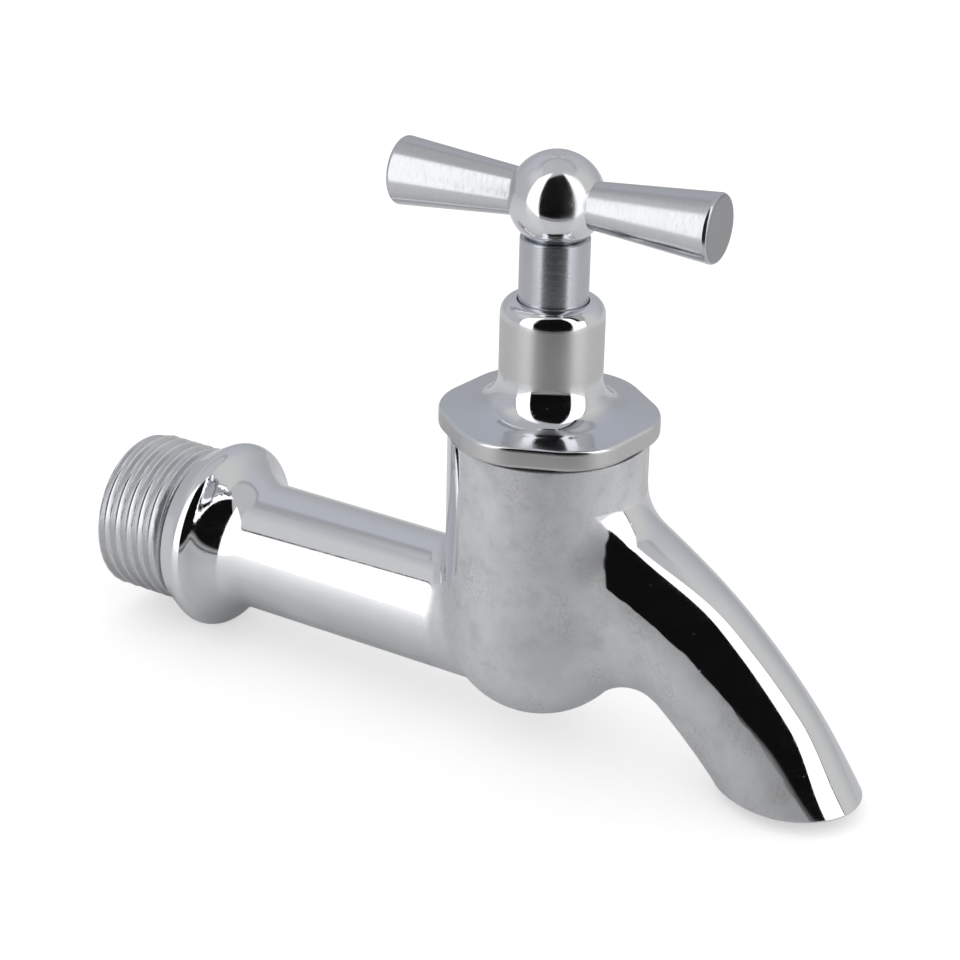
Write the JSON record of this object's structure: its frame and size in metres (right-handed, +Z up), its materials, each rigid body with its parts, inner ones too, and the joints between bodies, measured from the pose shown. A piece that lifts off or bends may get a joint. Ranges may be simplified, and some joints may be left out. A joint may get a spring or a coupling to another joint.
{
  "type": "bib tap",
  "caption": "Wall bib tap with a male inlet thread, a down-turned spout and a two-armed bar handle on a rising spindle that lifts a washered jumper off its seat.",
  "frame": {"origin": "middle of the wall seat, where the inlet thread meets the collar, on the inlet's axis", "axes": "+X away from the wall along the inlet's axis, +Z up along the spindle, +Y to the left seen from the spout's side"},
  "size_m": [0.1067, 0.0266, 0.0747],
  "materials": {
    "chrome_casting": "polished chrome plate over a casting, clouded and finely scratched on the chamber",
    "chrome_turned": "polished chrome plate over turned brass",
    "satin_stem": "satin, with fine turning marks round the stem",
    "turned_arms": "bright turned metal with fine marks round each arm",
    "bare_brass": "plain turned brass",
    "stud_steel": "threaded rod",
    "spring_steel": "drawn spring wire",
    "seal_rubber": "black moulded rubber",
    "slip_plastic": "plain slip ring",
    "fibre": "pressed red fibre"
  },
  "bodies": {
    "tap": {"tap_body": "chrome_casting", "bonnet_gasket": "fibre", "bonnet": "chrome_turned"},
    "valve": {"jumper": "bare_brass", "jumper_clip": "spring_steel", "seat_washer": "seal_rubber", "washer_plate": "bare_brass", "washer_nut": "bare_brass"},
    "handle": {"spindle": "satin_stem", "lower_seal": "seal_rubber", "upper_seal": "seal_rubber", "stop_ring": "slip_plastic", "handle_hub": "chrome_turned", "handle_stud": "stud_steel", "front_arm": "turned_arms", "rear_arm": "turned_arms"}
  },
  "joints": [
    {"name": "valve_lift", "type": "slide", "parent": "tap", "child": "valve", "axis": [0, 0, 1], "range_m": [0, 0.0035]},
    {"name": "handle_turn", "type": "hinge", "parent": "valve", "child": "handle", "pos_m": [0.0515, 0, 0.05673], "axis": [0, 0, 1], "range_deg": [0, 630]}
  ],
  "couplings": [
    {"joint": "handle_turn", "follows": "valve_lift", "rad_per_m": 3141.6}
  ]
}
